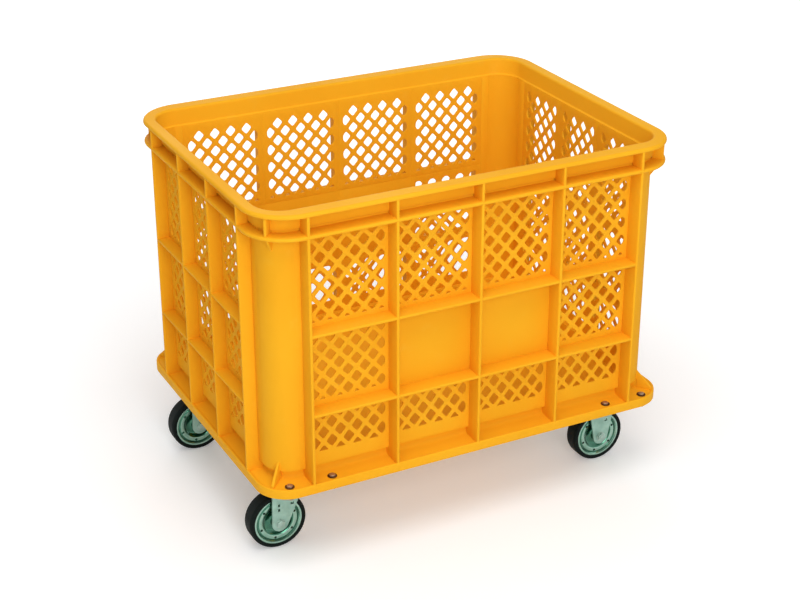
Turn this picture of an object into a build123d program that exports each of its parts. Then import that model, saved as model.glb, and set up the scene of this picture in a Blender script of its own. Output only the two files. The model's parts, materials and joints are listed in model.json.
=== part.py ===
"""A moulded mesh crate on four casters, for moving harvested produce.

The crate stands on its wheels with the floor at Z = 0. X runs along the long sides, the front
side is at -Y, and the swivel casters are at the -X end. All sizes are in millimetres.
"""

import os

from build123d import *

os.makedirs("parts", exist_ok=True)

# Plan of the crate: upright ribs, and what is left between the last rib and the outer edge
long_pitch = 150.0
long_cells = 4
long_end = 80.0
short_pitch = 125.0
short_cells = 3
short_end = 95.0

# Heights of the crate
caster_height = 142.0
tub_height = 486.0
lower_rim_drop = 37.0
top_row = 167.0
middle_row = 140.0
plain_band = 25.0

# Walls, ribs, rims and flange. The band between the two rims stands out from the skin, and the cove is
# the sloping foot of the wall above the flange.
skin = 3.5
rib = 4.5
long_rib_depth = 30.0
short_rib_depth = 22.0
rim_plate = 7.0
lower_rim_plate = 6.5
band_step = 4.0
flange_plate = 16.0
cove_width = 6.0
cove_bend = 2.0
cove_foot = 6.0
cove_height = 17.0
corner_straight = 2.75
flange_radius = 55.0
post_radius = 45.0
fin_setback = 2.0
rim_gusset = 28.0
flange_gusset = 50.0

# Diamond mesh: distance between holes across their corners, bar between holes, plain margin
mesh_pitch = 50.0
mesh_bar = 10.5
mesh_margin = 4.0

# Floor
floor_height = 16.0
floor_plate = 4.0

# Steel beams and the bolts that hold them under the flange
beam_width = 112.0
beam_plate = 4.0
beam_inset = 8.0
beam_edge = 12.0
beam_edge_setback = 70.0
bolt_pitch = 75.0
bolt_inset = 16.0
bolt_neck = 8.0
bolt_clearance = 0.3
bolt_head = 5.5
bolt_flats = 13.0
nut_height = 6.5

# Casters; the rounds that nothing turns on are drawn with flat sides
round_sides = 20
wheel_radius = 50.0
wheel_inset = 100.0
swivel_shift = 12.0
trail = 18.0
tyre_width = 30.0
rim_radius = 43.0
rim_width = 28.0
rim_sheet = 6.0
web_width = 8.0
hub_radius = 10.0
axle_radius = 5.0
running_clearance = 0.05
side_clearance = 0.3
fork_gap = 38.0
fork_sheet = 3.0
fork_top = 60.0
leg_end_radius = 13.0
axle_head = 5.0
axle_flats = 15.0
swivel_plate_clearance = 1.0
swivel_plate_width = 84.0
swivel_plate_sheet = 4.0
race_radius = 24.0
race_height = 6.0
swivel_clearance = 0.2
kingpin_radius = 6.0
kingpin_flats = 18.0
kingpin_head = 6.0

# Places worked out from the sizes above
long_line = long_pitch * long_cells / 2
short_line = short_pitch * short_cells / 2
half_length = long_line + long_end
half_width = short_line + short_end
corner_x = long_end - rib / 2
corner_y = short_end - rib / 2
corner_radius = corner_x - corner_straight
rim_bottom = tub_height - rim_plate
band_foot = tub_height - lower_rim_drop
lower_rim = band_foot - lower_rim_plate / 2
upper_rib = lower_rim - top_row
middle_rib = upper_rib - middle_row
inner_radius = post_radius - skin
hole_side = mesh_pitch / 2**0.5 - mesh_bar
hole_across = hole_side * 2**0.5
bolt_hole = bolt_neck + 2 * bolt_clearance
bolt_line = half_width - bolt_inset
beam_bottom = caster_height - beam_plate
wheel_line = half_width - wheel_inset
swivel_line = long_line + swivel_shift
swivel_plate_length = beam_width - 2 * (beam_plate + swivel_plate_clearance + swivel_shift)
fork_width = fork_gap + 2 * fork_sheet


# Walls of the tub: a thin skin with diamond mesh, stiffened outside by rims, rails, ribs and a flange
def mesh_holes(width, height):
    """Diamond holes that fill a field of this size, in two staggered grids."""
    columns = int((width - hole_across) // mesh_pitch) + 1
    rows = int((height - hole_across) // mesh_pitch) + 1
    with GridLocations(mesh_pitch, mesh_pitch, columns, rows):
        Rectangle(hole_side, hole_side, rotation=45, mode=Mode.SUBTRACT)
    if columns > 1 and rows > 1:
        with GridLocations(mesh_pitch, mesh_pitch, columns - 1, rows - 1):
            Rectangle(hole_side, hole_side, rotation=45, mode=Mode.SUBTRACT)


def section_plane(outer, span):
    """Plane across the end of one side, with its first axis inwards and its second upwards."""
    return Plane(outer.location * Location((-span / 2, 0, 0), (0, 90, 0)))


def wall_skin(outer, depth, cells, pitch, plain_cells):
    """Sheet behind the ribs of one side, with mesh in all but its plain cells."""
    rows = {
        "top": (upper_rib + rib / 2, lower_rim - lower_rim_plate / 2),
        "middle": (middle_rib + rib / 2, upper_rib - rib / 2),
        "bottom": (flange_plate + plain_band, middle_rib - rib / 2),
    }
    with BuildPart() as sheet:
        with BuildSketch(outer.offset(-depth)):
            with Locations((0, band_foot / 2)):
                Rectangle(cells * pitch + rib, band_foot)
            for row, (low, high) in rows.items():
                for column in range(cells):
                    if row == "middle" and column in plain_cells:
                        continue
                    with Locations(((column - (cells - 1) / 2) * pitch, (low + high) / 2)):
                        mesh_holes(pitch - rib - 2 * mesh_margin, high - low - 2 * mesh_margin)
        extrude(amount=-skin)
    return sheet.part


def wall_rim(outer, depth, span):
    """Rim of one side, drawn as a section: a flat top, the band under it and a ledge back to the skin."""
    band_face = depth - band_step
    with BuildPart() as rim:
        with BuildSketch(section_plane(outer, span)):
            with BuildLine():
                Polyline(
                    (0, rim_bottom),
                    (0, tub_height),
                    (band_face + skin, tub_height),
                    (band_face + skin, band_foot + skin),
                    (depth + skin, band_foot + skin),
                    (depth + skin, band_foot),
                    (band_face, band_foot),
                    (band_face, rim_bottom),
                    close=True,
                )
            make_face()
        extrude(amount=span)
    return rim.part


def wall_rails(outer, depth, span):
    """Lower rim and the two level ribs of one side."""
    with BuildPart() as rails:
        with BuildSketch(outer):
            with Locations((0, lower_rim)):
                Rectangle(span, lower_rim_plate)
            with Locations((0, upper_rib), (0, middle_rib)):
                Rectangle(span, rib)
        extrude(amount=-depth)
    return rails.part


def wall_flange(outer, depth, span):
    """Flange at the foot of one side, drawn as a section that hollows up to the skin."""
    with BuildPart() as flange:
        with BuildSketch(section_plane(outer, span)):
            with BuildLine():
                Polyline(
                    (0, 0),
                    (0, flange_plate),
                    (depth - cove_width, flange_plate),
                    (depth - cove_bend, flange_plate + cove_foot),
                    (depth, flange_plate + cove_height),
                    (depth, 0),
                    close=True,
                )
            make_face()
        extrude(amount=span)
    return flange.part


def wall_ribs(outer, depth, cells, pitch, flange):
    """Upright ribs of one side, in lengths that stand between its rims, rails and flange."""
    lengths = (
        (flange_plate, middle_rib - rib / 2, depth),
        (middle_rib + rib / 2, upper_rib - rib / 2, depth),
        (upper_rib + rib / 2, lower_rim - lower_rim_plate / 2, depth),
        (band_foot, rim_bottom, depth - band_step),
    )
    with BuildPart() as ribs:
        for low, high, reach in lengths:
            with BuildSketch(outer):
                with Locations((0, (low + high) / 2)):
                    with GridLocations(pitch, pitch, cells + 1, 1):
                        Rectangle(rib, high - low)
            extrude(amount=-reach)
        add(flange, mode=Mode.SUBTRACT)
    return ribs.part


front_plane = Plane((0, -half_width, caster_height), x_dir=(1, 0, 0), z_dir=(0, -1, 0))
left_plane = Plane((-half_length, 0, caster_height), x_dir=(0, -1, 0), z_dir=(-1, 0, 0))
front_span = long_cells * long_pitch + rib
left_span = short_cells * short_pitch + rib
inner_cells = range(1, long_cells - 1)
wall_bolts = long_line - bolt_pitch / 2
plain_flange = wall_flange(front_plane, long_rib_depth, front_span)
left_flange = wall_flange(left_plane, short_rib_depth, left_span)

with BuildPart() as front_flange:
    add(plain_flange)
    with Locations(Plane.XY.offset(caster_height)):
        with Locations((-wall_bolts, -bolt_line), (wall_bolts, -bolt_line)):
            Box(bolt_hole, bolt_hole, 3 * flange_plate, mode=Mode.SUBTRACT)

pieces = {
    "front_wall": wall_skin(front_plane, long_rib_depth, long_cells, long_pitch, inner_cells),
    "front_rim": wall_rim(front_plane, long_rib_depth, front_span),
    "front_rails": wall_rails(front_plane, long_rib_depth, front_span),
    "front_ribs": wall_ribs(front_plane, long_rib_depth, long_cells, long_pitch, plain_flange),
    "front_flange": front_flange.part,
    "left_wall": wall_skin(left_plane, short_rib_depth, short_cells, short_pitch, ()),
    "left_rim": wall_rim(left_plane, short_rib_depth, left_span),
    "left_rails": wall_rails(left_plane, short_rib_depth, left_span),
    "left_ribs": wall_ribs(left_plane, short_rib_depth, short_cells, short_pitch, left_flange),
    "left_flange": left_flange,
}

for near, far, middle in (("front", "back", Plane.XZ), ("left", "right", Plane.YZ)):
    for kind in ("wall", "rim", "rails", "ribs", "flange"):
        with BuildPart() as opposite:
            mirror(pieces[f"{near}_{kind}"], about=middle)
        pieces[f"{far}_{kind}"] = opposite.part


# Corner posts: a smooth rounded post with the rims, the flange and thin fins carried round it
rim_edge = (0, 0, corner_radius)
flange_edge = (0, 0, flange_radius)
post_face = (short_rib_depth, long_rib_depth, post_radius)
post_back = (short_rib_depth + skin, long_rib_depth + skin, inner_radius)
band_face = (short_rib_depth - band_step, long_rib_depth - band_step, post_radius + band_step)
band_back = (band_face[0] + skin, band_face[1] + skin, band_face[2] - skin)


def corner_plane(height):
    """Level plane at this height on the tub, with its origin at the front left outer corner."""
    return Plane((-half_length, -half_width, caster_height + height))


def corner_band(outer, inner):
    """Area between two rounded corners, each given as its two edges and its radius."""
    (outer_x, outer_y, outer_radius), (inner_x, inner_y, round_radius) = outer, inner
    with BuildSketch() as band:
        with BuildLine():
            FilletPolyline(
                (corner_x, outer_y), (outer_x, outer_y), (outer_x, corner_y), radius=outer_radius
            )
            FilletPolyline(
                (corner_x, inner_y), (inner_x, inner_y), (inner_x, corner_y), radius=round_radius
            )
            Line((corner_x, outer_y), (corner_x, inner_y))
            Line((outer_x, corner_y), (inner_x, corner_y))
        make_face()
    return band.sketch


def diagonal(rounded):
    """How far in a rounded corner lies on the diagonal from the outer corner."""
    edge_x, edge_y, radius = rounded
    across = edge_x + edge_y + 2 * radius
    return (across - (2 * radius**2 - (edge_x - edge_y) ** 2) ** 0.5) / 2**0.5


corner_bands = [
    (flange_edge, post_back, 0, flange_plate),
    (post_face, post_back, 0, band_foot),
    (rim_edge, post_back, band_foot - lower_rim_plate, lower_rim_plate),
    (band_face, post_back, band_foot, skin),
    (band_face, band_back, band_foot, lower_rim_drop),
    (rim_edge, band_back, rim_bottom, rim_plate),
]
fin_root = diagonal(post_face) + skin / 2
rim_fin_edge = diagonal(rim_edge) + fin_setback
flange_fin_edge = diagonal(flange_edge) + fin_setback
fin_plane = Plane((-half_length, -half_width, caster_height), x_dir=(1, 1, 0), z_dir=(1, -1, 0))

with BuildPart() as corner_front_left:
    for outer, inner, height, thickness in corner_bands:
        with BuildSketch(corner_plane(height)):
            add(corner_band(outer, inner))
        extrude(amount=thickness)
    with BuildSketch(fin_plane):
        with BuildLine():
            Polyline(
                (fin_root, lower_rim - rim_gusset),
                (rim_fin_edge, lower_rim),
                (rim_fin_edge, rim_bottom),
                (fin_root, rim_bottom),
                close=True,
            )
        make_face()
        with BuildLine():
            Polyline(
                (fin_root, flange_plate / 2),
                (flange_fin_edge, flange_plate / 2),
                (flange_fin_edge, flange_plate),
                (fin_root, flange_gusset),
                close=True,
            )
        make_face()
    extrude(amount=rib / 2, both=True)
    with Locations(Plane.XY.offset(caster_height)):
        with Locations((-long_line - bolt_pitch / 2, -bolt_line)):
            Box(bolt_hole, bolt_hole, 3 * flange_plate, mode=Mode.SUBTRACT)

with BuildPart() as corner_front_right:
    mirror(corner_front_left.part, about=Plane.YZ)

with BuildPart() as corner_back_left:
    mirror(corner_front_left.part, about=Plane.XZ)

with BuildPart() as corner_back_right:
    mirror(corner_front_right.part, about=Plane.XZ)


# Floor of the tub: a plate on cross ribs
floor_x = 2 * (half_length - short_rib_depth - skin)
floor_y = 2 * (half_width - long_rib_depth - skin)

with BuildPart() as floor:
    with BuildSketch(Plane.XY.offset(caster_height + floor_height - floor_plate)):
        RectangleRounded(floor_x, floor_y, inner_radius)
    extrude(amount=floor_plate)

with BuildPart() as floor_ribs:
    with BuildSketch(Plane.XY.offset(caster_height)):
        with GridLocations(long_pitch, short_pitch, long_cells + 1, 1):
            Rectangle(rib, floor_y)
    extrude(amount=floor_height - floor_plate)


# Steel beams: a flat bar across each end, its long edges turned down, bolted under the flange
beam_length = 2 * (half_width - beam_inset)
beam_edge_length = beam_length - 2 * beam_edge_setback

with BuildPart() as left_beam:
    with BuildSketch(Plane.XY.offset(beam_bottom)):
        with Locations((-long_line, 0)):
            Rectangle(beam_width, beam_length)
            with GridLocations(bolt_pitch, 2 * bolt_line, 2, 2):
                Rectangle(bolt_hole, bolt_hole, mode=Mode.SUBTRACT)
    extrude(amount=beam_plate)
    with BuildSketch(Plane.XY.offset(beam_bottom)):
        with Locations((-long_line, 0)):
            with GridLocations(beam_width - beam_plate, 1, 2, 1):
                Rectangle(beam_plate, beam_edge_length)
    extrude(amount=beam_plate - beam_edge)

with BuildPart() as right_beam:
    mirror(left_beam.part, about=Plane.YZ)

bolt_grid = [
    (end * long_line + step * bolt_pitch / 2, side * bolt_line)
    for end in (-1, 1)
    for side in (-1, 1)
    for step in (-1, 1)
]

with BuildPart() as beam_bolts:
    with BuildSketch(Plane.XY.offset(caster_height + flange_plate)):
        with Locations(*bolt_grid):
            RegularPolygon(bolt_flats / 2, 6, major_radius=False)
    extrude(amount=bolt_head)
    with BuildSketch(Plane.XY.offset(caster_height + flange_plate)):
        with Locations(*bolt_grid):
            Rectangle(bolt_neck, bolt_neck)
    extrude(amount=-(flange_plate + beam_plate))

with BuildPart() as beam_nuts:
    with BuildSketch(Plane.XY.offset(beam_bottom)):
        with Locations(*bolt_grid):
            RegularPolygon(bolt_flats / 2, 6, major_radius=False)
    extrude(amount=-nut_height)


# Casters: a pressed steel fork round a rubber-tyred disc wheel, on a through bolt
def fork(axle, top, head_radius, pin_hole_radius):
    """Two tapered legs under a head plate whose upper face is at this height."""
    head_x, head_y, axle_x = axle
    leg_face = Plane((head_x, head_y - fork_width / 2, 0), x_dir=(1, 0, 0), z_dir=(0, -1, 0))
    with BuildPart() as bracket:
        with BuildSketch(leg_face):
            with Locations((axle_x, wheel_radius)):
                RegularPolygon(leg_end_radius, round_sides)
            with Locations((0, top - fork_sheet / 2)):
                Rectangle(fork_top, fork_sheet)
            make_hull()
            with Locations((axle_x, wheel_radius)):
                RegularPolygon(axle_radius, round_sides, major_radius=False, mode=Mode.SUBTRACT)
        extrude(amount=-fork_sheet)
        mirror(about=Plane((head_x, head_y, 0), x_dir=(1, 0, 0), z_dir=(0, 1, 0)))
        with BuildSketch(Plane((head_x, head_y, top - fork_sheet))):
            Rectangle(fork_top, fork_width)
            if head_radius:
                RegularPolygon(head_radius, round_sides)
                Circle(pin_hole_radius, mode=Mode.SUBTRACT)
        extrude(amount=fork_sheet)
    return bracket.part


def axle_bolt(x, y, out):
    """Hexagon head on the outer leg and a shank through both legs."""
    head_face = Plane((x, y + out * fork_width / 2, wheel_radius), x_dir=(1, 0, 0), z_dir=(0, out, 0))
    with BuildPart() as bolt:
        with BuildSketch(head_face):
            RegularPolygon(axle_flats / 2, 6, major_radius=False)
        extrude(amount=axle_head)
        with BuildSketch(head_face):
            Circle(axle_radius)
        extrude(amount=-fork_width)
    return bolt.part


def axle_nut(x, y, out):
    """Closed nut on the inner leg."""
    nut_face = Plane((x, y - out * fork_width / 2, wheel_radius), x_dir=(1, 0, 0), z_dir=(0, -out, 0))
    with BuildPart() as nut:
        with BuildSketch(nut_face):
            RegularPolygon(axle_flats / 2, 6, major_radius=False)
        extrude(amount=nut_height)
    return nut.part


def wheel_plane(x, y):
    """Plane through the middle of a wheel, across its axle."""
    return Plane((x, y, wheel_radius), x_dir=(1, 0, 0), z_dir=(0, -1, 0))


def wheel_disc(x, y):
    """Disc with a deep rim, a thin web and a hub that turns on the axle."""
    middle = wheel_plane(x, y)
    hub_width = fork_gap - 2 * side_clearance
    with BuildPart() as disc:
        with BuildSketch(middle):
            RegularPolygon(rim_radius, round_sides)
        extrude(amount=web_width / 2, both=True)
        with BuildSketch(middle):
            RegularPolygon(rim_radius, round_sides)
            RegularPolygon(rim_radius - rim_sheet, round_sides, mode=Mode.SUBTRACT)
        extrude(amount=rim_width / 2, both=True)
        with BuildSketch(middle):
            RegularPolygon(hub_radius, round_sides)
        extrude(amount=hub_width / 2, both=True)
        with BuildSketch(middle):
            Circle(axle_radius + running_clearance)
        extrude(amount=hub_width / 2, both=True, mode=Mode.SUBTRACT)
    return disc.part


def tyre(x, y):
    """Solid rubber tyre moulded on the rim."""
    with BuildPart() as ring:
        with BuildSketch(wheel_plane(x, y)):
            Circle(wheel_radius)
            RegularPolygon(rim_radius, round_sides, mode=Mode.SUBTRACT)
        extrude(amount=tyre_width / 2, both=True)
    return ring.part


plate_bottom = beam_bottom - swivel_plate_sheet
race_bottom = plate_bottom - race_height
fork_head = race_bottom - swivel_clearance
pin_head = fork_head - fork_sheet - swivel_clearance
swivel_spots = [(-swivel_line, side * wheel_line) for side in (-1, 1)]

with BuildPart() as swivel_plates:
    with BuildSketch(Plane.XY.offset(plate_bottom)):
        with Locations(*swivel_spots):
            Rectangle(swivel_plate_length, swivel_plate_width)
    extrude(amount=swivel_plate_sheet)
    with BuildSketch(Plane.XY.offset(plate_bottom)):
        with Locations(*swivel_spots):
            RegularPolygon(race_radius, round_sides)
    extrude(amount=-race_height)

with BuildPart() as kingpins:
    with BuildSketch(Plane.XY.offset(race_bottom)):
        with Locations(*swivel_spots):
            Circle(kingpin_radius)
    extrude(amount=pin_head - race_bottom)
    with BuildSketch(Plane.XY.offset(pin_head)):
        with Locations(*swivel_spots):
            RegularPolygon(kingpin_flats / 2, 6, major_radius=False)
    extrude(amount=-kingpin_head)

pieces.update(
    corner_front_left=corner_front_left.part,
    corner_front_right=corner_front_right.part,
    corner_back_left=corner_back_left.part,
    corner_back_right=corner_back_right.part,
    floor=floor.part,
    floor_ribs=floor_ribs.part,
    left_beam=left_beam.part,
    right_beam=right_beam.part,
    beam_bolts=beam_bolts.part,
    beam_nuts=beam_nuts.part,
    swivel_plates=swivel_plates.part,
    kingpins=kingpins.part,
)

for side, out in (("front", -1), ("back", 1)):
    place_y = out * wheel_line
    pin_hole = kingpin_radius + running_clearance
    pieces[f"swivel_fork_{side}"] = fork(
        (-swivel_line, place_y, -trail), fork_head, fork_top / 2, pin_hole
    )
    pieces[f"rigid_fork_{side}"] = fork((long_line, place_y, 0), beam_bottom, 0, 0)
    for end, axle_x in (("left", -swivel_line - trail), ("right", long_line)):
        pieces[f"axle_{end}_{side}"] = axle_bolt(axle_x, place_y, out)
        pieces[f"axle_nut_{end}_{side}"] = axle_nut(axle_x, place_y, out)
        pieces[f"wheel_disc_{end}_{side}"] = wheel_disc(axle_x, place_y)
        pieces[f"tyre_{end}_{side}"] = tyre(axle_x, place_y)

for name, piece in pieces.items():
    piece.label = name
    export_step(piece, f"parts/{name}.step")
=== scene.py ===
"""Looks of the wheeled pallet box: a moulded mesh crate on steel beams and four casters, in metres, Z up."""
import json
import math
import bmesh
import bpy
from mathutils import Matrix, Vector

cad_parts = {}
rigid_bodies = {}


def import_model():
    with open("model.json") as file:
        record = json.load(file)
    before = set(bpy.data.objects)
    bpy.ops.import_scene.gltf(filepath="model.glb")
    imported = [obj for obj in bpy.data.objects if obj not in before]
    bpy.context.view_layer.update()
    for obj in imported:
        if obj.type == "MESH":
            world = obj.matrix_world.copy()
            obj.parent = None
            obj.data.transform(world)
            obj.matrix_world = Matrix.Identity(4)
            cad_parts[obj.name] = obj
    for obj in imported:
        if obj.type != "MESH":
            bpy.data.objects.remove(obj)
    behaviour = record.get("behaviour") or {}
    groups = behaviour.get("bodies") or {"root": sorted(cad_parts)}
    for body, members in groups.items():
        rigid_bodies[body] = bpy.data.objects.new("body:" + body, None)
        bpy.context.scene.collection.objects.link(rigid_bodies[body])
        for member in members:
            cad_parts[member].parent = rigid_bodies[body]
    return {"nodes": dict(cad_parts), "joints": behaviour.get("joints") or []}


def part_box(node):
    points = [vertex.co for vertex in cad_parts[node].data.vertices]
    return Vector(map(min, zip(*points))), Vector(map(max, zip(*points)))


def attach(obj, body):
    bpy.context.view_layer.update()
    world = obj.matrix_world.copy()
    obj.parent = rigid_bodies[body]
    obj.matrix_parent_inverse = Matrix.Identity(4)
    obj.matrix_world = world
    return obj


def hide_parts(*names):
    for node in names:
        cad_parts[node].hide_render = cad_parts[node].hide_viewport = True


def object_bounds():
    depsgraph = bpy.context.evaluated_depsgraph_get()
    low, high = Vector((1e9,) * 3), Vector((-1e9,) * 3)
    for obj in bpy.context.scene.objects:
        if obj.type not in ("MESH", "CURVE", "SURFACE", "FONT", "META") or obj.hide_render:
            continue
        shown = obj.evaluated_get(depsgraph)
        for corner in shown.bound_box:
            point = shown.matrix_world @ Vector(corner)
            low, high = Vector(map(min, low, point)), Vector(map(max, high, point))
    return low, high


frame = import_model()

cad_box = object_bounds()

# Crate plastic: the tub is one injection moulding in yellow-orange polyethylene, coloured right through.
# Its skin is satin, slightly uneven in colour, with a fine moulded grain and a few dull scuffs.
plastic_light = (0.90, 0.44, 0.016, 1.0)
plastic_deep = (0.87, 0.40, 0.013, 1.0)
plastic_scuff = (0.88, 0.47, 0.035, 1.0)
cloud_scale = 5.0
scuff_scale = 38.0
grain_scale = 1400.0
ripple_scale = 16.0
grain_height = 0.0012


class Finish:
    """One socket of a material's nodes. Sums on it add Math nodes, and node() adds any other node."""

    def __init__(self, tree, socket):
        self.tree = tree
        self.socket = socket

    def node(self, kind, settings, sockets, output=0):
        made = self.tree.nodes.new(kind)
        for name, value in settings.items():
            if name == "stops":
                made.color_ramp.elements[0].position = value[0]
                made.color_ramp.elements[1].position = value[1]
            else:
                setattr(made, name, value)
        for name, value in sockets.items():
            if isinstance(value, Finish):
                self.tree.links.new(value.socket, made.inputs[name])
            else:
                made.inputs[name].default_value = value
        return Finish(self.tree, made.outputs[output])

    def sum(self, operation, first, second):
        return self.node("ShaderNodeMath", {"operation": operation}, {0: first, 1: second})

    def __add__(self, other):
        return self.sum("ADD", self, other)

    def __sub__(self, other):
        return self.sum("SUBTRACT", self, other)

    def __rsub__(self, other):
        return self.sum("SUBTRACT", other, self)

    def __mul__(self, other):
        return self.sum("MULTIPLY", self, other)

    __radd__ = __add__
    __rmul__ = __mul__

    def blend(self, low, high):
        """Colour that goes from low to high as this mask goes from 0 to 1."""
        return self.node("ShaderNodeMix", {"data_type": "RGBA"}, {0: self, 6: low, 7: high}, 2)

    def noise(self, scale, detail):
        return self.node("ShaderNodeTexNoise", {}, {"Vector": self, "Scale": scale, "Detail": detail})

    def between(self, low, high):
        """Mask that is 0 below low and 1 above high."""
        return self.node("ShaderNodeValToRGB", {"stops": (low, high)}, {"Fac": self})

    def bump(self, strength, distance):
        values = {"Strength": strength, "Distance": distance, "Height": self}
        return self.node("ShaderNodeBump", {}, values)

    def into(self, shader, name):
        self.tree.links.new(self.socket, shader.inputs[name])


def start_finish(name):
    """New material, its shader and its Object coordinates."""
    material = bpy.data.materials.new(name)
    material.use_nodes = True
    tree = material.node_tree
    place = tree.nodes.new("ShaderNodeTexCoord")
    return material, tree.nodes["Principled BSDF"], Finish(tree, place.outputs["Object"])


crate_plastic, shader, place = start_finish("crate_plastic")
clouds = place.noise(cloud_scale, 2.0).between(0.35, 0.7)
scuffs = place.noise(scuff_scale, 6.0).between(0.60, 0.78)
grain = place.noise(grain_scale, 2.0)
ripple = place.noise(ripple_scale, 1.0)
(scuffs * 0.35).blend(clouds.blend(plastic_light, plastic_deep), plastic_scuff).into(shader, "Base Color")
(0.50 + 0.10 * clouds + 0.14 * scuffs + 0.05 * grain).into(shader, "Roughness")
(grain * 0.25 + ripple).bump(0.25, grain_height).into(shader, "Normal")
shader.inputs["IOR"].default_value = 1.5
shader.inputs["Specular IOR Level"].default_value = 0.06

# Walls: each side of the tub is a thin skin with staggered diamond holes in every cell between its ribs.
# The skin is flat, its mesh field stops short of the ribs, and two middle cells of a long side stay plain.
mm = 0.001
tub_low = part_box("front_wall")[0].z
tub_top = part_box("front_rim")[1].z
half_length = cad_box[1].x
half_width = cad_box[1].y
long_pitch = 150 * mm
long_cells = 4
long_plain = (1, 2)
long_depth = 30 * mm
short_pitch = 125 * mm
short_cells = 3
short_depth = 22 * mm
post_radius = 45 * mm
skin = 2.6 * mm
skin_edge = 0.9 * mm
rib = 4.5 * mm
rib_root = 6.3 * mm
rib_taper = 0.8
rib_edge = 1.7 * mm
overlap = 1 * mm
upright_back = 0.4 * mm
level_back = 0.9 * mm
ledge_under = tub_top - 5 * mm
band_reach = 2 * mm
lower_rim = tub_top - 40.25 * mm
upper_rib = lower_rim - 167 * mm
middle_rib = upper_rib - 140 * mm
skin_top = tub_top - 31 * mm
flange_top = tub_low + 15 * mm
skin_foot = tub_low + 32.5 * mm
set_back = 9 * mm
hole_pitch = 30 * mm
hole_step = 32.6 * mm
foot_hole_step = 35 * mm
mesh_bar = 6.9 * mm
hole_corner = 2.8 * mm
hole_cut = 5.9 * mm
hole_under = 3.5 * mm
smallest_hole = 8 * mm ** 2
upper_field = (upper_rib + 9.7 * mm, lower_rim - 3.5 * mm)
upper_first_row = 11.3 * mm
middle_field = (middle_rib + 12.6 * mm, upper_rib - 11 * mm)
middle_first_row = 27.6 * mm
foot_field = (skin_foot + 24.5 * mm, middle_rib - 8 * mm)
foot_first_row = -1.5 * mm
smooth_angle = math.radians(35)


def select_holes(sheet, half_field, foot, top):
    """Selects the diamond faces that lie inside the mesh field of the sheet being edited."""
    bpy.ops.mesh.select_all(action="DESELECT")
    edited = bmesh.from_edit_mesh(sheet.data)
    for face in edited.faces:
        middle = face.calc_center_median()
        inside = abs(middle.x) < half_field and foot < middle.y < top - hole_under
        if inside and face.material_index == 1 and face.calc_area() > smallest_hole:
            face.select_set(True)
    bmesh.update_edit_mesh(sheet.data)


def mesh_cell(pitch, low, high, foot, top, row_place, row_step):
    """Skin of one cell, flat on XY from low to high, its mesh from foot to top with a row at row_place."""
    columns = math.floor((pitch / 2 - hole_cut) / (hole_pitch / 2))
    half_field = columns * hole_pitch / 2 + hole_cut
    centre = row_place + round(((low + high) / 2 - row_place) / row_step) * row_step
    reach = max(high - centre, centre - low) + pitch / 2
    squares = 2 * math.ceil(reach / hole_pitch) + 2
    side_length = squares / math.sqrt(2)
    bpy.ops.object.select_all(action="DESELECT")
    bpy.ops.mesh.primitive_grid_add(x_subdivisions=squares, y_subdivisions=squares, size=side_length)
    cell = bpy.context.object
    cell.rotation_euler.z = math.radians(45)
    bpy.ops.object.transform_apply()
    cell.scale = (hole_pitch, row_step, 1)
    cell.location = (0, centre, 0)
    bpy.ops.object.transform_apply()
    bpy.ops.object.material_slot_add()
    bpy.ops.object.material_slot_add()
    bpy.ops.object.mode_set(mode="EDIT")
    bpy.ops.mesh.select_mode(type="FACE")
    bpy.ops.mesh.select_all(action="SELECT")
    bpy.ops.mesh.inset(thickness=mesh_bar / 2, use_individual=True)
    cell.active_material_index = 1
    bpy.ops.object.material_slot_assign()
    for side in (-1, 1):
        bpy.ops.mesh.select_all(action="SELECT")
        bpy.ops.mesh.bisect(plane_co=(side * half_field, 0, 0), plane_no=(side, 0, 0))
        bpy.ops.mesh.select_all(action="SELECT")
        bpy.ops.mesh.bisect(plane_co=(side * pitch / 2, 0, 0), plane_no=(side, 0, 0), clear_outer=True)
    for height, side in ((low, -1), (high, 1)):
        bpy.ops.mesh.select_all(action="SELECT")
        bpy.ops.mesh.bisect(plane_co=(0, height, 0), plane_no=(0, side, 0), clear_outer=True)
    for height in (foot, top):
        bpy.ops.mesh.select_all(action="SELECT")
        bpy.ops.mesh.bisect(plane_co=(0, height, 0), plane_no=(0, 1, 0))
    select_holes(cell, half_field, foot, top)
    bpy.ops.mesh.bevel(offset=hole_corner, segments=2, affect="VERTICES")
    select_holes(cell, half_field, foot, top)
    bpy.ops.mesh.delete(type="FACE")
    bpy.ops.mesh.select_mode(type="VERT")
    bpy.ops.object.mode_set(mode="OBJECT")
    cell.active_material_index = 1
    bpy.ops.object.material_slot_remove()
    return cell


def plain_panel(low_x, high_x, low, high):
    """Flat piece of skin on XY."""
    bpy.ops.object.select_all(action="DESELECT")
    bpy.ops.mesh.primitive_plane_add(size=1, location=((low_x + high_x) / 2, (low + high) / 2, 0))
    panel = bpy.context.object
    panel.scale = (high_x - low_x, high - low, 1)
    bpy.ops.object.transform_apply()
    return panel


def name_piece(piece, name):
    """Gives a piece and its mesh the same name."""
    piece.name = name
    piece.data.name = name


def pick_piece(piece):
    """Selects one piece alone and makes it active."""
    bpy.ops.object.select_all(action="DESELECT")
    piece.select_set(True)
    bpy.context.view_layer.objects.active = piece


def start_piece(name):
    """Empty mesh object that is open for editing."""
    bpy.ops.object.select_all(action="DESELECT")
    bpy.ops.mesh.primitive_cube_add(size=1)
    piece = bpy.context.object
    name_piece(piece, name)
    bpy.ops.object.mode_set(mode="EDIT")
    bpy.ops.mesh.delete(type="VERT")
    return piece


def add_bar(low, high):
    """Adds a square bar between two corners to the mesh being edited, and leaves it selected."""
    middle = (Vector(low) + Vector(high)) / 2
    bpy.ops.mesh.primitive_cube_add(size=1, location=middle)
    bpy.ops.transform.resize(value=Vector(high) - Vector(low), center_override=middle)
    return middle


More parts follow.
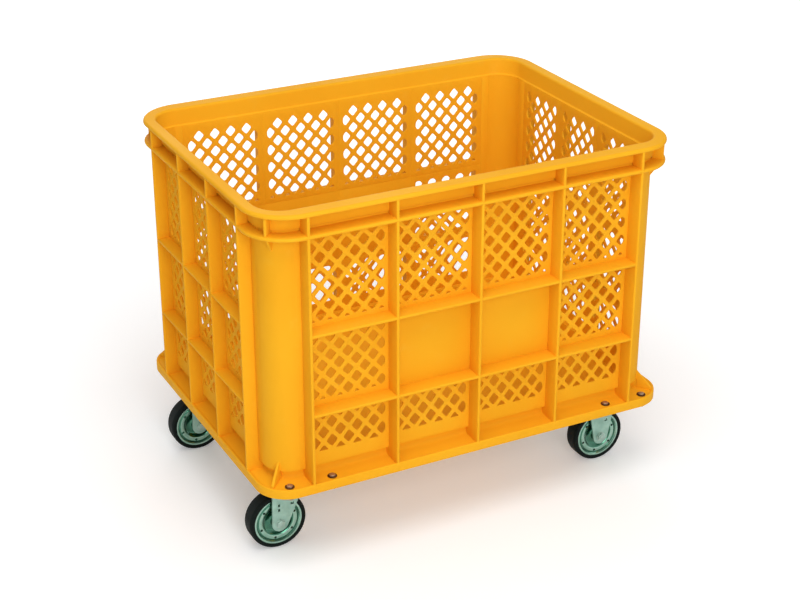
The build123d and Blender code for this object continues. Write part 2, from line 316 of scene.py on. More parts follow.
def select_points(piece, test):
    """Selects those of the selected points that pass the test."""
    edited = bmesh.from_edit_mesh(piece.data)
    wanted = [point for point in edited.verts if point.select and test(point.co)]
    bpy.ops.mesh.select_all(action="DESELECT")
    for point in wanted:
        point.select_set(True)
    edited.select_flush_mode()
    bmesh.update_edit_mesh(piece.data)


def round_edges(piece, width, steps, angle=40):
    """Rounds the sharp edges of a closed piece and leaves it smooth between them."""
    if bpy.context.mode == "EDIT_MESH":
        bpy.ops.mesh.select_all(action="SELECT")
        bpy.ops.mesh.normals_make_consistent(inside=False)
        bpy.ops.object.mode_set(mode="OBJECT")
    edges = piece.modifiers.new("edges", "BEVEL")
    edges.width = width
    edges.segments = steps
    edges.limit_method = "ANGLE"
    edges.angle_limit = math.radians(angle)
    bpy.ops.object.modifier_apply(modifier="edges")
    bpy.ops.object.shade_smooth_by_angle(angle=smooth_angle)


def join_pieces(pieces):
    """Joins pieces into the first of them."""
    bpy.ops.object.select_all(action="DESELECT")
    for piece in pieces:
        piece.select_set(True)
    bpy.context.view_layer.objects.active = pieces[0]
    bpy.ops.object.join()
    return pieces[0]


def wall_skin(pitch, cells, half_run, face, plain):
    """Whole skin of one side, upright and facing -Y, with some cells of its middle row plain."""
    rows = (
        (upper_rib, skin_top, upper_field, upper_first_row, hole_step),
        (middle_rib, upper_rib, middle_field, middle_first_row, hole_step),
        (skin_foot, middle_rib, foot_field, foot_first_row, foot_hole_step),
    )
    first = -pitch * (cells - 1) / 2
    panels = []
    for row, (low, high, (foot, top), first_row, row_step) in enumerate(rows):
        cell = mesh_cell(pitch, low, high, foot, top, foot + first_row, row_step)
        for column in range(cells):
            middle = first + column * pitch
            if row == 1 and column in plain:
                panels.append(plain_panel(middle - pitch / 2, middle + pitch / 2, low, high))
                continue
            pick_piece(cell)
            bpy.ops.object.duplicate()
            bpy.ops.transform.translate(value=(middle, 0, 0))
            panels.append(bpy.context.object)
        bpy.data.objects.remove(cell)
    for side in (-1, 1):
        ends = sorted((side * pitch * cells / 2, side * half_run))
        panels.append(plain_panel(ends[0], ends[1], skin_foot, skin_top))
    skin_piece = join_pieces(panels)
    bpy.ops.object.transform_apply()
    skin_piece.rotation_euler.x = math.radians(90)
    skin_piece.location.y = -face
    bpy.ops.object.transform_apply()
    thickness = skin_piece.modifiers.new("thickness", "SOLIDIFY")
    thickness.thickness = skin
    thickness.offset = -1
    bpy.ops.object.modifier_apply(modifier="thickness")
    round_edges(skin_piece, skin_edge, 2, 50)
    return skin_piece


def wall_ribs(pitch, cells, face, depth):
    """Upright and level ribs of one side, each a little thinner at its outer edge."""
    ribs = start_piece("ribs")
    outside = face + depth
    last = pitch * cells / 2
    rib_low = flange_top - overlap
    for line in range(cells + 1):
        low_x = line * pitch - last - rib_root / 2
        high_x = low_x + rib_root
        for low_z, high_z, root in (
            (rib_low, lower_rim, -face + overlap),
            (lower_rim, ledge_under, -face - band_reach),
        ):
            middle = add_bar((low_x, -outside + upright_back, low_z), (high_x, root, high_z))
            select_points(ribs, lambda point: point.y < middle.y)
            bpy.ops.transform.resize(value=(rib_taper, 1, 1), center_override=middle)
        add_bar((low_x, -face - band_reach, rib_low), (high_x, -face + set_back + overlap, skin_foot))
    for height in (upper_rib, middle_rib):
        low = (-last, -outside + level_back, height - rib_root / 2)
        middle = add_bar(low, (last, -face + overlap, height + rib_root / 2))
        select_points(ribs, lambda point: point.y < middle.y)
        bpy.ops.transform.resize(value=(1, 1, rib_taper), center_override=middle)
    round_edges(ribs, rib_edge, 3)
    return ribs


def copy_piece(piece, name, shift, about=None):
    """Moved copy of a finished piece with its own mesh, turned half round about a place if one is given."""
    pick_piece(piece)
    bpy.ops.object.duplicate()
    copy = bpy.context.object
    name_piece(copy, name)
    copy.location = shift
    if about:
        copy.rotation_euler.z = math.pi
        copy.location = (2 * about[0] + shift[0], 2 * about[1] + shift[1], shift[2])
    bpy.ops.object.transform_apply()
    return copy


def fix_piece(piece, finish, slot, body, *nodes):
    """Gives a piece its material, puts it in the place of its CAD nodes and on its body. The slot argument
    is not used.
    """
    piece.data.materials.clear()
    piece.data.materials.append(finish)
    if nodes:
        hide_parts(*nodes)
    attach(piece, body)


def finish_walls(skin_piece, ribs, sides):
    """Joins skin and ribs to a wall, and turns it and a copy to their sides of the tub, by quarter turns."""
    wall = join_pieces([skin_piece, ribs])
    walls = (wall, copy_piece(wall, "wall_copy", (0, 0, 0)))
    for piece, (side, quarter_turns) in zip(walls, sides):
        name_piece(piece, f"mesh_wall_{side}")
        pick_piece(piece)
        piece.rotation_euler.z = quarter_turns * math.pi / 2
        bpy.ops.object.transform_apply()
        nodes = [f"{side}_{kind}" for kind in ("wall", "rails", "ribs")]
        fix_piece(piece, crate_plastic, "crate_plastic", "crate", *nodes)


long_face = half_width - long_depth
short_face = half_length - short_depth
long_run = short_face - post_radius
short_run = long_face - post_radius
long_skin = wall_skin(long_pitch, long_cells, long_run, long_face, long_plain)
long_ribs = wall_ribs(long_pitch, long_cells, long_face, long_depth)
finish_walls(long_skin, long_ribs, (("front", 0), ("back", 2)))
short_skin = wall_skin(short_pitch, short_cells, short_run, short_face, ())
short_ribs = wall_ribs(short_pitch, short_cells, short_face, short_depth)
finish_walls(short_skin, short_ribs, (("left", -1), ("right", 1)))

# Corner posts: smooth quarter-round walls of the same moulding between the sides.
# Each has a fin in the channel under the rim, a small gusset below it and a larger one on the flange,
# with a short fin behind that one where the foot of the wall steps back.
corner_steps = 20
post_back = post_radius - skin
channel_fin_end = 66 * mm
gusset_end = 62 * mm
gusset_height = 30 * mm
gusset_slope = 26 * mm
foot_gusset_end = 73 * mm
foot_gusset_height = 35 * mm
foot_gusset_slope = 30 * mm
foot_fin_depth = 4 * mm
foot_fin_gap = 0.5 * mm
fin_edge = 1 * mm


def ring(name, loops):
    """Closed ring through rounded rectangles, each given by two insets, a corner radius and a height."""
    piece = start_piece(name)
    # The loops are bridged a metre apart, clear of one another, and are then moved to their heights.
    for step, (inset_x, inset_y, radius, height) in enumerate(loops):
        bpy.ops.mesh.primitive_plane_add(size=2, location=(0, 0, step))
        size = (half_length - inset_x, half_width - inset_y, 1)
        bpy.ops.transform.resize(value=size, center_override=(0, 0, step))
        bpy.ops.mesh.bevel(offset=radius, segments=corner_steps, affect="VERTICES")
        bpy.ops.mesh.select_linked()
        bpy.ops.object.vertex_group_assign_new()
        bpy.ops.mesh.delete(type="ONLY_FACE")
    for step in range(len(loops)):
        bpy.ops.mesh.select_all(action="DESELECT")
        for loop in (step, (step + 1) % len(loops)):
            piece.vertex_groups.active_index = loop
            bpy.ops.object.vertex_group_select()
        bpy.ops.mesh.bridge_edge_loops()
    for step, (inset_x, inset_y, radius, height) in enumerate(loops):
        bpy.ops.mesh.select_all(action="DESELECT")
        piece.vertex_groups.active_index = step
        bpy.ops.object.vertex_group_select()
        bpy.ops.transform.translate(value=(0, 0, height - step))
    bpy.ops.mesh.select_all(action="SELECT")
    bpy.ops.mesh.normals_make_consistent(inside=False)
    bpy.ops.object.mode_set(mode="OBJECT")
    bpy.ops.object.vertex_group_remove(all=True)
    bpy.ops.object.shade_smooth_by_angle(angle=smooth_angle)
    return piece


posts = ring("corner_posts", (
    (short_depth, long_depth, post_radius, skin_foot),
    (short_depth, long_depth, post_radius, skin_top),
    (short_depth + skin, long_depth + skin, post_back, skin_top),
    (short_depth + skin, long_depth + skin, post_back, skin_foot),
))
bpy.ops.object.mode_set(mode="EDIT")
bpy.ops.mesh.select_mode(type="FACE")
bpy.ops.mesh.select_all(action="DESELECT")
edited = bmesh.from_edit_mesh(posts.data)
for face in edited.faces:
    middle = face.calc_center_median()
    face.select_set(abs(middle.x) < long_run or abs(middle.y) < short_run)
bmesh.update_edit_mesh(posts.data)
bpy.ops.mesh.delete(type="FACE")
bpy.ops.mesh.select_mode(type="VERT")
bpy.ops.mesh.select_all(action="SELECT")
bpy.ops.mesh.fill_holes(sides=4)
bpy.ops.mesh.select_all(action="SELECT")
bpy.ops.mesh.normals_make_consistent(inside=False)
bpy.ops.object.mode_set(mode="OBJECT")
bpy.ops.object.shade_smooth_by_angle(angle=smooth_angle)
fins = start_piece("corner_fins")
fin_root = post_radius - overlap
fin_low = flange_top - overlap
# Each fin: its start and end from the middle of the post, its low and high edge, and the slope of its end.
fin_shapes = (
    (post_radius + band_reach, channel_fin_end, lower_rim, ledge_under, 0),
    (fin_root, gusset_end, lower_rim - gusset_height, lower_rim, gusset_slope),
    (fin_root, foot_gusset_end, fin_low, flange_top + foot_gusset_height, -foot_gusset_slope),
    (fin_root - set_back, fin_root + foot_fin_depth, fin_low, skin_foot - foot_fin_gap, 0),
)
for side_x in (-1, 1):
    for side_y in (-1, 1):
        for start, end, low_z, high_z, slope in fin_shapes:
            middle = add_bar((start, -rib / 2, low_z), (end, rib / 2, high_z))
            if slope > 0:
                select_points(fins, lambda point: point.x > middle.x and point.z < middle.z)
            elif slope < 0:
                select_points(fins, lambda point: point.x > middle.x and point.z > middle.z)
            if slope:
                bpy.ops.transform.translate(value=(0, 0, slope))
                bpy.ops.mesh.select_linked()
            turn = math.atan2(side_y, side_x)
            bpy.ops.transform.rotate(value=-turn, orient_axis="Z", center_override=(0, 0, 0))
            bpy.ops.transform.translate(value=(side_x * long_run, side_y * short_run, 0))
round_edges(fins, fin_edge, 2)
join_pieces([posts, fins])
corner_nodes = ("corner_front_left", "corner_front_right", "corner_back_left", "corner_back_right")
fix_piece(posts, crate_plastic, "crate_plastic", "crate", *corner_nodes)

# Rim, lower rim and flange: three belts of the moulding that run round walls and posts without a break.
# The rim is a thin rounded ledge over a band set a little outwards.
# The flange has a rolled lip, and the walls step back to their foot on it.
rim_corner = 75 * mm
flange_corner = 55 * mm
inner_corner = short_depth + post_radius
inner_step = long_depth - short_depth
arc_steps = 3


def belt_loops(base, corner_radius, step, corners):
    """Loops of one side of a belt from its outline's corners: inset, height over base, rounding, in mm."""
    points = []
    for place, (inset, height, rounding) in enumerate(corners):
        corner = Vector((inset, height))
        if not rounding:
            points.append(corner)
            continue
        before = (Vector(corners[place - 1][:2]) - corner).normalized() * rounding
        after = (Vector(corners[place + 1][:2]) - corner).normalized() * rounding
        for arc_step in range(arc_steps + 1):
            turn = math.radians(90) * arc_step / arc_steps
            points.append(corner + before * (1 - math.sin(turn)) + after * (1 - math.cos(turn)))
    return [(x * mm, x * mm + step, corner_radius - x * mm, base + z * mm) for x, z in points]


rim_lip = ((4, -7, 0), (0, -7, 1.5), (0, 0, 4), (6, 0, 0))
rim_band = (
    (15, 0, 0), (21.5, 0, 4.5), (21.5, -29.8, 1.5), (24.6, -31.5, 0),
    (22, -33, 0), (18, -32, 1), (18, -7, 0),
)
rim = ring("top_rim", (
    *belt_loops(tub_top, rim_corner, 0, rim_lip),
    *belt_loops(tub_top, inner_corner, inner_step, rim_band),
))
lower_lip = ((8, -3.25, 0), (0, -3.25, 3), (0, 3.25, 3), (8, 3.25, 0))
lower_root = ((23, 3.25, 0), (23, -3.25, 0))
lower_belt = ring("lower_rim", (
    *belt_loops(lower_rim, rim_corner, 0, lower_lip),
    *belt_loops(lower_rim, inner_corner, inner_step, lower_root),
))
flange_lip = ((2, 0, 0), (0, 0, 1), (0, 16.7, 2), (3.5, 16.7, 1.2), (5.2, 14.5, 1.4), (8, 14.5, 0))
flange_foot = (
    (15, 15.4, 0), (31, 16.8, 6), (31, 32, 2.7), (22.6, 32, 0),
    (22.6, 33.8, 0), (34.5, 33.8, 1.2), (34.5, 0, 0),
)
flange = ring("foot_flange", (
    *belt_loops(tub_low, flange_corner, 0, flange_lip),
    *belt_loops(tub_low, inner_corner, inner_step, flange_foot),
))
tub_sides = ("front", "back", "left", "right")
rim_nodes = [f"{side}_rim" for side in tub_sides]
flange_nodes = [f"{side}_flange" for side in tub_sides]
fix_piece(rim, crate_plastic, "crate_plastic", "crate", *rim_nodes)
fix_piece(lower_belt, crate_plastic, "crate_plastic", "crate")
fix_piece(flange, crate_plastic, "crate_plastic", "crate", *flange_nodes)

# Floor: the bottom of the moulding, a plain plate with ribs under it.
# Their CAD shapes are right, so they only take the crate's plastic.
for name in ("floor", "floor_ribs"):
    frame["nodes"][name].data.materials[0] = crate_plastic

# Beams: two zinc plated cross beams under the ends of the tub carry the casters.
# They are flat with turned-down long edges, and their corners are cut round to stay under the flange.
# Swivel plates and kingpins keep their CAD shapes.
zinc_bright = (0.34, 0.37, 0.35, 1.0)
zinc_dull = (0.20, 0.23, 0.21, 1.0)
zinc_grime = (0.08, 0.07, 0.05, 1.0)
patch_scale = 55.0
mark_scale = 700.0
mark_height = 0.0004
dirt_scale = 30.0
beam_plate = 4 * mm
beam_edge_end = 70 * mm
beam_corner = 16 * mm
beam_edge = 0.6 * mm


def plated_finish(name, bright, dull, grime, shine):
    """Plated steel with soft patches, fine rubbing marks and a little grime."""
    material, shader, place = start_finish(name)
    patches = place.noise(patch_scale, 4.0).between(0.35, 0.7)
    marks = place.noise(mark_scale, 3.0)
    dirt = place.noise(dirt_scale, 6.0).between(0.58, 0.85)
    (dirt * 0.6).blend(patches.blend(bright, dull), grime).into(shader, "Base Color")
    (shine + 0.10 * patches + 0.08 * marks + 0.25 * dirt).into(shader, "Roughness")
    (0.95 - 0.5 * dirt).into(shader, "Metallic")
    marks.bump(0.12, mark_height).into(shader, "Normal")
    return material


beam_steel = plated_finish("beam_steel", zinc_bright, zinc_dull, zinc_grime, 0.36)
for name in ("swivel_plates", "kingpins"):
    frame["nodes"][name].data.materials[0] = beam_steel
for side in ("left", "right"):
    low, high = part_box(f"{side}_beam")
    plate_low = high.z - beam_plate
    beam = start_piece(f"cross_beam_{side}")
    add_bar((low.x, low.y, plate_low), high)
    bpy.ops.mesh.select_all(action="DESELECT")
    edited = bmesh.from_edit_mesh(beam.data)
    for edge in edited.edges:
        start, end = edge.verts
        if abs(start.co.z - end.co.z) > beam_plate / 2:
            edge.select_set(True)
    bmesh.update_edit_mesh(beam.data)
    bpy.ops.mesh.bevel(offset=beam_corner, segments=8)
    for edge_x in (low.x, high.x - beam_plate):
        edge_high = (edge_x + beam_plate, high.y - beam_edge_end, plate_low + overlap)
        add_bar((edge_x, low.y + beam_edge_end, low.z), edge_high)
    round_edges(beam, beam_edge, 2)
    fix_piece(beam, beam_steel, "beam_steel", "crate", f"{side}_beam")

# Beam bolts and nuts: hexagon bolts with plain washers hold the flange to the beams, four at each end.
# They are plated and a little rusty, and their washers are painted dark as the shade round each bolt, with a
# little dirt.
rust_bright = (0.46, 0.37, 0.28, 1.0)
rust_dull = (0.30, 0.23, 0.16, 1.0)
rust_grime = (0.12, 0.06, 0.03, 1.0)
# Washer colours: painted shade round the bolt heads, with a little dirt, not the washers' own colour.
washer_shade_bright = (0.16, 0.07, 0.025, 1.0)
washer_shade_dull = (0.09, 0.04, 0.015, 1.0)
washer_shade_grime = (0.03, 0.015, 0.008, 1.0)
last_rib = long_pitch * long_cells / 2
bolt_near = last_rib - long_pitch / 4
bolt_far = last_rib + long_pitch / 4
bolt_line = half_width - 16 * mm
bolt_columns = (-bolt_far, -bolt_near, bolt_near, bolt_far)
bolt_places = [(x, y) for x in bolt_columns for y in (-bolt_line, bolt_line)]
bolt_radius = 4 * mm
bolt_head = 5.6 * mm
bolt_head_height = 2.2 * mm
bolt_edge = 0.6 * mm
bolt_washer = 8 * mm
washer_sink = 0.5 * mm
washer_top = flange_top + 1.1 * mm
washer_shade_band = (flange_top - 0.4 * mm, washer_top + 0.01 * mm)
beam_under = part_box("beam_bolts")[0].z
nut_washer = 8.2 * mm
nut_washer_low = beam_under - 1.2 * mm
nut_head = 7.2 * mm
nut_head_low = beam_under - 2.5 * mm
nut_edge = 0.5 * mm
thread_low = beam_under - 4 * mm
thread_height = 2 * mm
hexagon = 6


def add_round(radius, low, high, sides):
    """Adds a cylinder or prism along Z or Y to the mesh being edited, from one point to the other."""
    middle = (Vector(low) + Vector(high)) / 2
    depth = (Vector(high) - Vector(low)).length
    turn = (math.pi / 2, 0, 0) if abs(high[1] - low[1]) > abs(high[2] - low[2]) else (0, 0, 0)
    bpy.ops.mesh.primitive_cylinder_add(
        vertices=sides, radius=radius, depth=depth, location=middle, rotation=turn
    )


def on_bolt(z):
    """Point on the line of the first bolt."""
    return (*bolt_places[0], z)


fastener_steel = plated_finish("fastener_steel", rust_bright, rust_dull, rust_grime, 0.42)
washer_steel_painted_shade = plated_finish("washer_steel_painted_shade", washer_shade_bright, washer_shade_dull, washer_shade_grime, 0.6)
bolts = start_piece("flange_bolts")
add_round(bolt_washer, on_bolt(flange_top - washer_sink), on_bolt(washer_top), sides=28)
add_round(bolt_head, on_bolt(washer_top), on_bolt(washer_top + bolt_head_height), hexagon)
add_round(bolt_radius, on_bolt(beam_under), on_bolt(flange_top), sides=16)
round_edges(bolts, bolt_edge, 2)
nuts = start_piece("beam_lock_nuts")
add_round(nut_head, on_bolt(nut_head_low), on_bolt(nut_washer_low), hexagon)
add_round(nut_washer, on_bolt(nut_washer_low), on_bolt(beam_under), sides=28)
add_round(bolt_radius, on_bolt(thread_low), on_bolt(thread_low + thread_height), sides=16)
round_edges(nuts, nut_edge, 2)
first_x, first_y = bolt_places[0]
for first, node in ((bolts, "beam_bolts"), (nuts, "beam_nuts")):
    copies = [first]
    for x, y in bolt_places[1:]:
        copies.append(copy_piece(first, "copy", (x - first_x, y - first_y, 0)))
    join_pieces(copies)
    fix_piece(first, fastener_steel, "fastener_steel", "crate", node)
# The washer faces take the dark finish: painted shade round each bolt head.
bolts.data.materials.append(washer_steel_painted_shade)
for face in bolts.data.polygons:
    if washer_shade_band[0] < face.center.z < washer_shade_band[1]:
        face.material_index = 1

# Forks: pressed steel caster forks, two tapered legs under a head plate, plated pale grey-green.
# The left pair turns on kingpins under the swivel plates, the right pair is fixed to its beam.
fork_bright = (0.33, 0.50, 0.42, 1.0)
fork_dull = (0.25, 0.40, 0.33, 1.0)
fork_grime = (0.12, 0.13, 0.10, 1.0)
caster_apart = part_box("tyre_left_back")[0].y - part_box("tyre_left_front")[0].y
fork_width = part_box("rigid_fork_front")[1].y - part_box("rigid_fork_front")[0].y
fork_sheet = 3 * mm
leg_end = 14.5 * mm
fork_top = 60 * mm
fork_edge = 0.7 * mm
swivel_head = 30 * mm
joint_places = {joint["name"]: Vector(joint["pos_m"]) for joint in frame["joints"]}
left_axle = joint_places["wheel_roll_left_front"]
right_axle = joint_places["wheel_roll_right_front"]
swivel_x = joint_places["swivel_turn_front"].x
# Each slot of a leg: its middle from the axle, along X and Z, its width and its height, in mm.
swivel_slots = ((-1.5, 26, 3.6, 5), (-1.5, 35, 3.6, 5), (22, 34, 6, 4))
rigid_slots = ((9, 32, 5, 5),)


def cut_away(piece, cutter):
    """Cuts the cutter's shape out of a piece."""
    pick_piece(piece)
    cut = piece.modifiers.new("cut", "BOOLEAN")
    cut.object = cutter
    bpy.ops.object.modifier_apply(modifier="cut")
    bpy.data.objects.remove(cutter)


def fork_piece(name, node, axle, head_x, head_radius, slot_places):
    """Fork with its head under the given place: two legs with slots, a head plate and rounded edges."""
    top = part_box(node)[1].z
    low_x = head_x - fork_top / 2
    high_x = head_x + fork_top / 2
    outer = axle.y - fork_width / 2
    leg = start_piece(name)
    add_round(leg_end, (axle.x, outer, axle.z), (axle.x, outer + fork_sheet, axle.z), sides=40)
    add_bar((low_x, outer, top - 2 * fork_sheet), (high_x, outer + fork_sheet, top))
    bpy.ops.mesh.select_all(action="SELECT")
    bpy.ops.mesh.convex_hull()
    bpy.ops.object.mode_set(mode="OBJECT")
    slots = start_piece("slots")
    for x, z, wide, tall in slot_places:
        low = (axle.x + (x - wide / 2) * mm, outer - fork_sheet, axle.z + (z - tall / 2) * mm)
        add_bar(low, (low[0] + wide * mm, outer + 2 * fork_sheet, low[2] + tall * mm))
    bpy.ops.object.mode_set(mode="OBJECT")
    cut_away(leg, slots)
    other = copy_piece(leg, "other_leg", (0, fork_width - fork_sheet, 0))
    head = start_piece("head")
    low_y = outer + fork_sheet / 2
    high_y = outer + fork_width - fork_sheet / 2
    add_bar((low_x, low_y, top - fork_sheet), (high_x, high_y, top))
    if head_radius:
        low = (head_x, axle.y, top - 0.9 * fork_sheet)
        add_round(head_radius, low, (head_x, axle.y, top - 0.1 * fork_sheet), sides=48)
    bpy.ops.object.mode_set(mode="OBJECT")
    fork = join_pieces([leg, other, head])
    round_edges(fork, fork_edge, 2)
    return fork


fork_steel = plated_finish("fork_steel", fork_bright, fork_dull, fork_grime, 0.42)
turning_front = fork_piece(
    "turning_fork_front", "swivel_fork_front", left_axle, swivel_x, swivel_head, swivel_slots
)
turning_back = copy_piece(turning_front, "turning_fork_back", (0, caster_apart, 0))
fixed_front = fork_piece("fixed_fork_front", "rigid_fork_front", right_axle, right_axle.x, 0, rigid_slots)
fixed_back = copy_piece(fixed_front, "fixed_fork_back", (0, caster_apart, 0))
fix_piece(turning_front, fork_steel, "caster_steel", "swivel_front", "swivel_fork_front")
fix_piece(turning_back, fork_steel, "caster_steel", "swivel_back", "swivel_fork_back")
fix_piece(fixed_front, fork_steel, "caster_steel", "crate", "rigid_fork_front")
fix_piece(fixed_back, fork_steel, "caster_steel", "crate", "rigid_fork_back")

# Axles: plated bolts through both legs, head and washer outside, nut inside.
# Each is modelled once at the front left and copied, turned half round for the back casters.
axle_bright = (0.40, 0.52, 0.46, 1.0)
axle_dull = (0.28, 0.40, 0.34, 1.0)
axle_grime = (0.10, 0.12, 0.10, 1.0)
wheel_places = {
    "left_front": left_axle,
    "left_back": left_axle + Vector((0, caster_apart, 0)),
    "right_front": right_axle,
    "right_back": right_axle + Vector((0, caster_apart, 0)),
}
axle_bodies = {
    "left_front": "swivel_front",
    "left_back": "swivel_back",
    "right_front": "crate",
    "right_back": "crate",
}
copied_corners = ("left_back", "right_front", "right_back")
outer = left_axle.y - fork_width / 2
inner = left_axle.y + fork_width / 2
head_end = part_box("axle_left_front")[0].y
nut_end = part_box("axle_nut_left_front")[1].y
axle_radius = 5 * mm
axle_washer = 8.4 * mm
axle_washer_height = 1.1 * mm
axle_head = 7.4 * mm
axle_edge = 0.5 * mm
head_boss = 4.2 * mm
head_boss_height = 1 * mm
head_boss_root = 0.2 * mm
nut_boss = 4.8 * mm
nut_boss_height = 1.6 * mm
nut_boss_root = 0.2 * mm


def on_axle(y):
    """Point on the front left axle."""
    return (left_axle.x, y, left_axle.z)


axle_steel = plated_finish("axle_steel", axle_bright, axle_dull, axle_grime, 0.34)
axle_first = start_piece("axle_bolt_left_front")
head_face = outer - axle_washer_height
head_front = head_end + head_boss_height
add_round(axle_washer, on_axle(head_face), on_axle(outer), sides=32)
add_round(axle_head, on_axle(head_front), on_axle(head_face), hexagon)
add_round(head_boss, on_axle(head_end), on_axle(head_front + head_boss_root), sides=24)
add_round(axle_radius, on_axle(outer), on_axle(inner), sides=24)
round_edges(axle_first, axle_edge, 2)
nut_first = start_piece("axle_lock_nut_left_front")
nut_face = inner + axle_washer_height
nut_front = nut_end - nut_boss_height
add_round(axle_washer, on_axle(inner), on_axle(nut_face), sides=32)
add_round(axle_head, on_axle(nut_face), on_axle(nut_front), hexagon)
add_round(nut_boss, on_axle(nut_front - nut_boss_root), on_axle(nut_end), sides=24)
round_edges(nut_first, axle_edge, 2)
for first, kind, node in ((axle_first, "axle_bolt", "axle"), (nut_first, "axle_lock_nut", "axle_nut")):
    made = {"left_front": first}
    for corner in copied_corners:
        shift = wheel_places[corner] - left_axle
        about = left_axle if corner.endswith("back") else None
        made[corner] = copy_piece(first, f"{kind}_{corner}", shift, about)
    for corner, piece in made.items():
        fix_piece(piece, axle_steel, "fastener_steel", axle_bodies[corner], f"{node}_{corner}")

# Wheel discs: two steel pressings back to back, with a rolled rim, a flat ring with six holes and a hub.
# They are plated with a green passivation, pale on the ridges, and the dish and the groove are painted dark
# green as shade.
disc_bright = (0.30, 0.48, 0.39, 1.0)
disc_dull = (0.19, 0.37, 0.28, 1.0)
disc_grime = (0.05, 0.10, 0.07, 1.0)
# Hollow colours: painted shade in the dish and the groove, not a different plating.
hollow_shade_bright = (0.03, 0.17, 0.10, 1.0)
hollow_shade_dull = (0.015, 0.10, 0.055, 1.0)
hollow_shade_grime = (0.01, 0.04, 0.02, 1.0)
dish = (10.2 * mm, 27 * mm)
groove = (34.4 * mm, 38.4 * mm)
disc_holes = 6
disc_hole = 2.3 * mm
first_hole = 20
hole_ring = 31.8 * mm
hole_reach = Vector((0, 20 * mm, 0))
same_point = 0.01 * mm
disc_steps = 72
# Half of the disc's outline: radius and distance from the middle of the wheel, in mm.
disc_half = (
    (5.05, 18.7), (9.3, 18.7), (10, 18), (10.4, 9), (11.6, 6.4), (14, 5.2), (20, 5), (23.5, 6), (26, 9.6),
    (28, 11.3), (30, 11.7), (34.2, 11.7), (35.8, 10.6), (37, 10.2), (38.2, 11.4), (39.3, 13.5), (40.8, 14),
    (42.2, 13.5), (42.9, 12),
)
wheel_steel = plated_finish("wheel_steel", disc_bright, disc_dull, disc_grime, 0.12)
hollow_steel_painted_shade = plated_finish("hollow_steel_painted_shade", hollow_shade_bright, hollow_shade_dull, hollow_shade_grime, 0.10)
for finish in (wheel_steel, hollow_steel_painted_shade):
    shader = finish.node_tree.nodes["Principled BSDF"]
    shader.inputs["Coat Weight"].default_value = 0.8
    shader.inputs["Coat Roughness"].default_value = 0.1


def spin_piece(name, half):
    """Round piece spun about the front left axle from half of its outline, as radius and offset in mm."""
    piece = start_piece(name)
    outline = [Vector((left_axle.x + r * mm, left_axle.y + y * mm, left_axle.z)) for r, y in half]
    outline += [Vector((point.x, 2 * left_axle.y - point.y, point.z)) for point in reversed(outline)]
    bpy.ops.mesh.primitive_plane_add(size=1 * mm, location=outline[0])
    bpy.ops.mesh.merge(type="CENTER")
    for start, end in zip(outline, outline[1:] + outline[:1]):
        bpy.ops.mesh.extrude_vertices_move(TRANSFORM_OT_translate={"value": end - start})
    bpy.ops.mesh.select_all(action="SELECT")
    bpy.ops.mesh.remove_doubles(threshold=same_point)
    bpy.ops.mesh.select_all(action="SELECT")
    bpy.ops.mesh.spin(steps=disc_steps, angle=2 * math.pi, center=left_axle, axis=(0, 1, 0))
    bpy.ops.mesh.select_all(action="SELECT")
    bpy.ops.mesh.remove_doubles(threshold=same_point)
    bpy.ops.mesh.normals_make_consistent(inside=False)
    bpy.ops.object.mode_set(mode="OBJECT")
    return piece


disc_first = spin_piece("steel_disc_left_front", disc_half)
holes = start_piece("holes")
for hole in range(disc_holes):
    turn = math.radians(360 / disc_holes * hole + first_hole)
    middle = left_axle + Vector((math.cos(turn), 0, math.sin(turn))) * hole_ring
    add_round(disc_hole, middle - hole_reach, middle + hole_reach, sides=20)
bpy.ops.object.mode_set(mode="OBJECT")
cut_away(disc_first, holes)
bpy.ops.object.shade_smooth_by_angle(angle=math.radians(40))

# Tyres: solid black rubber, moulded on the discs, with rounded shoulders and a fine groove near each side.
# The tread is slightly dusty.
rubber_black = (0.003, 0.006, 0.005, 1.0)
rubber_dusty = (0.016, 0.019, 0.016, 1.0)
dust_scale = 45.0
pore_scale = 1600.0
pore_depth = 0.0006
# Half of the tyre's outline: radius and distance from the middle of the wheel, in mm.
tyre_half = (
    (43, 13), (43.6, 14.2), (44.8, 14.8), (46.6, 14.9), (48.2, 14.4), (49.3, 13.2), (49.7, 11.8),
    (49.3, 11.3), (49.3, 10.7), (49.8, 10.2), (50, 8), (50, 3),
)
tyre_rubber, shader, place = start_finish("tyre_rubber")
dust = place.noise(dust_scale, 5.0).between(0.5, 0.8)
pores = place.noise(pore_scale, 2.0)
(dust * 0.4).blend(rubber_black, rubber_dusty).into(shader, "Base Color")
(0.55 + 0.25 * dust + 0.1 * pores).into(shader, "Roughness")
shader.inputs["Specular IOR Level"].default_value = 0.1
pores.bump(0.3, pore_depth).into(shader, "Normal")
tyre_first = spin_piece("rubber_tyre_left_front", tyre_half)
bpy.ops.object.shade_smooth_by_angle(angle=math.radians(50))
for first, kind, node, finish, slot in (
    (disc_first, "steel_disc", "wheel_disc", wheel_steel, "wheel_steel"),
    (tyre_first, "rubber_tyre", "tyre", tyre_rubber, "tyre_rubber"),
):
    made = {"left_front": first}
    for corner in copied_corners:
        made[corner] = copy_piece(first, f"{kind}_{corner}", wheel_places[corner] - left_axle)
    for corner, piece in made.items():
        fix_piece(piece, finish, slot, f"wheel_{corner}", f"{node}_{corner}")
        if kind == "steel_disc":
            # Faces in the dish and the groove take the second, dark finish: painted shade.
            piece.data.materials.append(hollow_steel_painted_shade)
            for face in piece.data.polygons:
                reach = face.center - wheel_places[corner]
                radius = math.hypot(reach.x, reach.z)
                if dish[0] < radius < dish[1] or groove[0] < radius < groove[1]:
                    face.material_index = 1

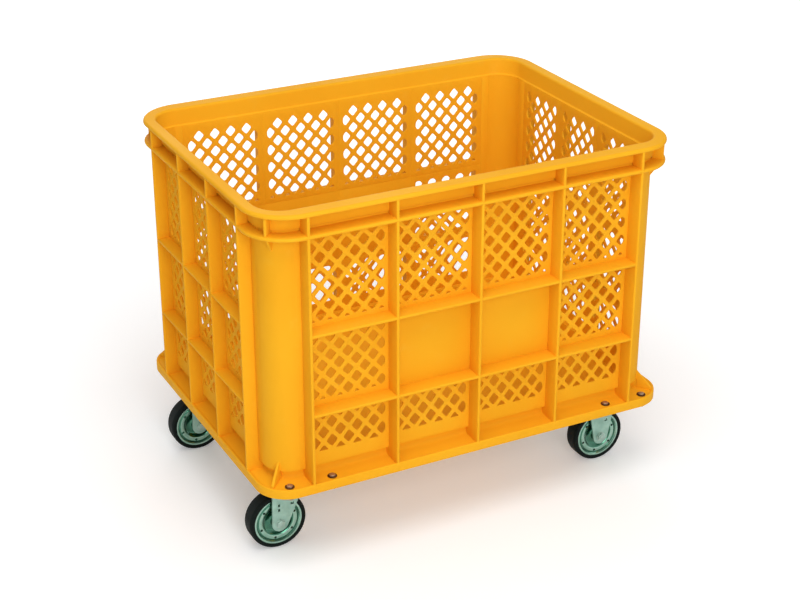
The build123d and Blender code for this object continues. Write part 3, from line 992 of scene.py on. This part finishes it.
# Studio: a pale floor and a white surround, lit by three large soft lamps.
# One lamp is in front of the long side, one is above and a weak one is behind.
floor_pale = (0.9, 0.9, 0.9, 1.0)
glow_near = (0.22, 0.22, 0.22, 1.0)
glow_far = (0.62, 0.62, 0.62, 1.0)
surround_white = (1.0, 1.0, 1.0, 1.0)
surround_light = 0.42
floor_finish, shader, place = start_finish("studio_floor")
bpy.ops.object.select_all(action="DESELECT")
bpy.ops.mesh.primitive_plane_add(size=14, location=(0, 0, 0))
studio_floor = bpy.context.object
studio_floor.name = "studio_floor"
shader.inputs["Base Color"].default_value = floor_pale
shader.inputs["Roughness"].default_value = 0.9
distance = place.node("ShaderNodeVectorMath", {"operation": "LENGTH"}, {0: place}, 1)
(distance * 0.3).between(0.15, 0.8).blend(glow_near, glow_far).into(shader, "Emission Color")


def seen_directly(tree):
    """1 where the camera or a reflection sees the surface, and 0 for the light that it throws on others."""
    rays = tree.nodes.new("ShaderNodeLightPath").outputs
    camera_ray = Finish(tree, rays["Is Camera Ray"])
    mirrored = Finish(tree, rays["Is Glossy Ray"])
    through = Finish(tree, rays["Is Transmission Ray"])
    return camera_ray.sum("MAXIMUM", camera_ray.sum("MAXIMUM", camera_ray, mirrored), through)


seen_directly(floor_finish.node_tree).into(shader, "Emission Strength")
studio_floor.data.materials.append(floor_finish)

world = bpy.data.worlds.new("studio")
bpy.context.scene.world = world
world.use_nodes = True
surround = world.node_tree.nodes["Background"]
surround.inputs["Color"].default_value = surround_white
(surround_light + seen_directly(world.node_tree) * (1 - surround_light)).into(surround, "Strength")


def soft_lamp(name, place, aim, size, power):
    """Square area lamp that faces its aim."""
    bpy.ops.object.light_add(type="AREA", location=place)
    lamp = bpy.context.object
    lamp.name = name
    lamp.data.size = size
    lamp.data.energy = power
    lamp.rotation_euler = (Vector(aim) - Vector(place)).to_track_quat("-Z", "Y").to_euler()


soft_lamp("key_lamp", (-0.85, -3.15, 1.75), (0, 0, 0.35), 1.8, 48)
soft_lamp("top_lamp", (-0.6, -1.2, 3.4), (0, 0, 0.3), 2.0, 46)
soft_lamp("back_lamp", (0.9, 3.0, 1.9), (0, 0, 0.35), 2.0, 20)

# Camera: it stands where the photograph was taken from and aims at the middle of the crate.
# It has no lens shift, so the crate's upright edges come a little closer together towards the floor.
camera_turn = math.radians(-27.21)
camera_rise = math.radians(25.457)
camera_distance = 3.0276
camera_lens = 77.06
camera_sensor = 36
aim_side = -0.0022
aim_height = 0.3017
aim = Vector((aim_side * math.cos(camera_turn), aim_side * math.sin(camera_turn), aim_height))
toward = Vector((
    math.sin(camera_turn) * math.cos(camera_rise),
    -math.cos(camera_turn) * math.cos(camera_rise),
    math.sin(camera_rise),
))
bpy.ops.object.camera_add(location=aim + toward * camera_distance)
camera = bpy.context.object
camera.rotation_euler = (-toward).to_track_quat("-Z", "Y").to_euler()
camera.data.lens = camera_lens
camera.data.sensor_width = camera_sensor
bpy.context.scene.camera = camera
bpy.context.scene.view_settings.view_transform = "Standard"
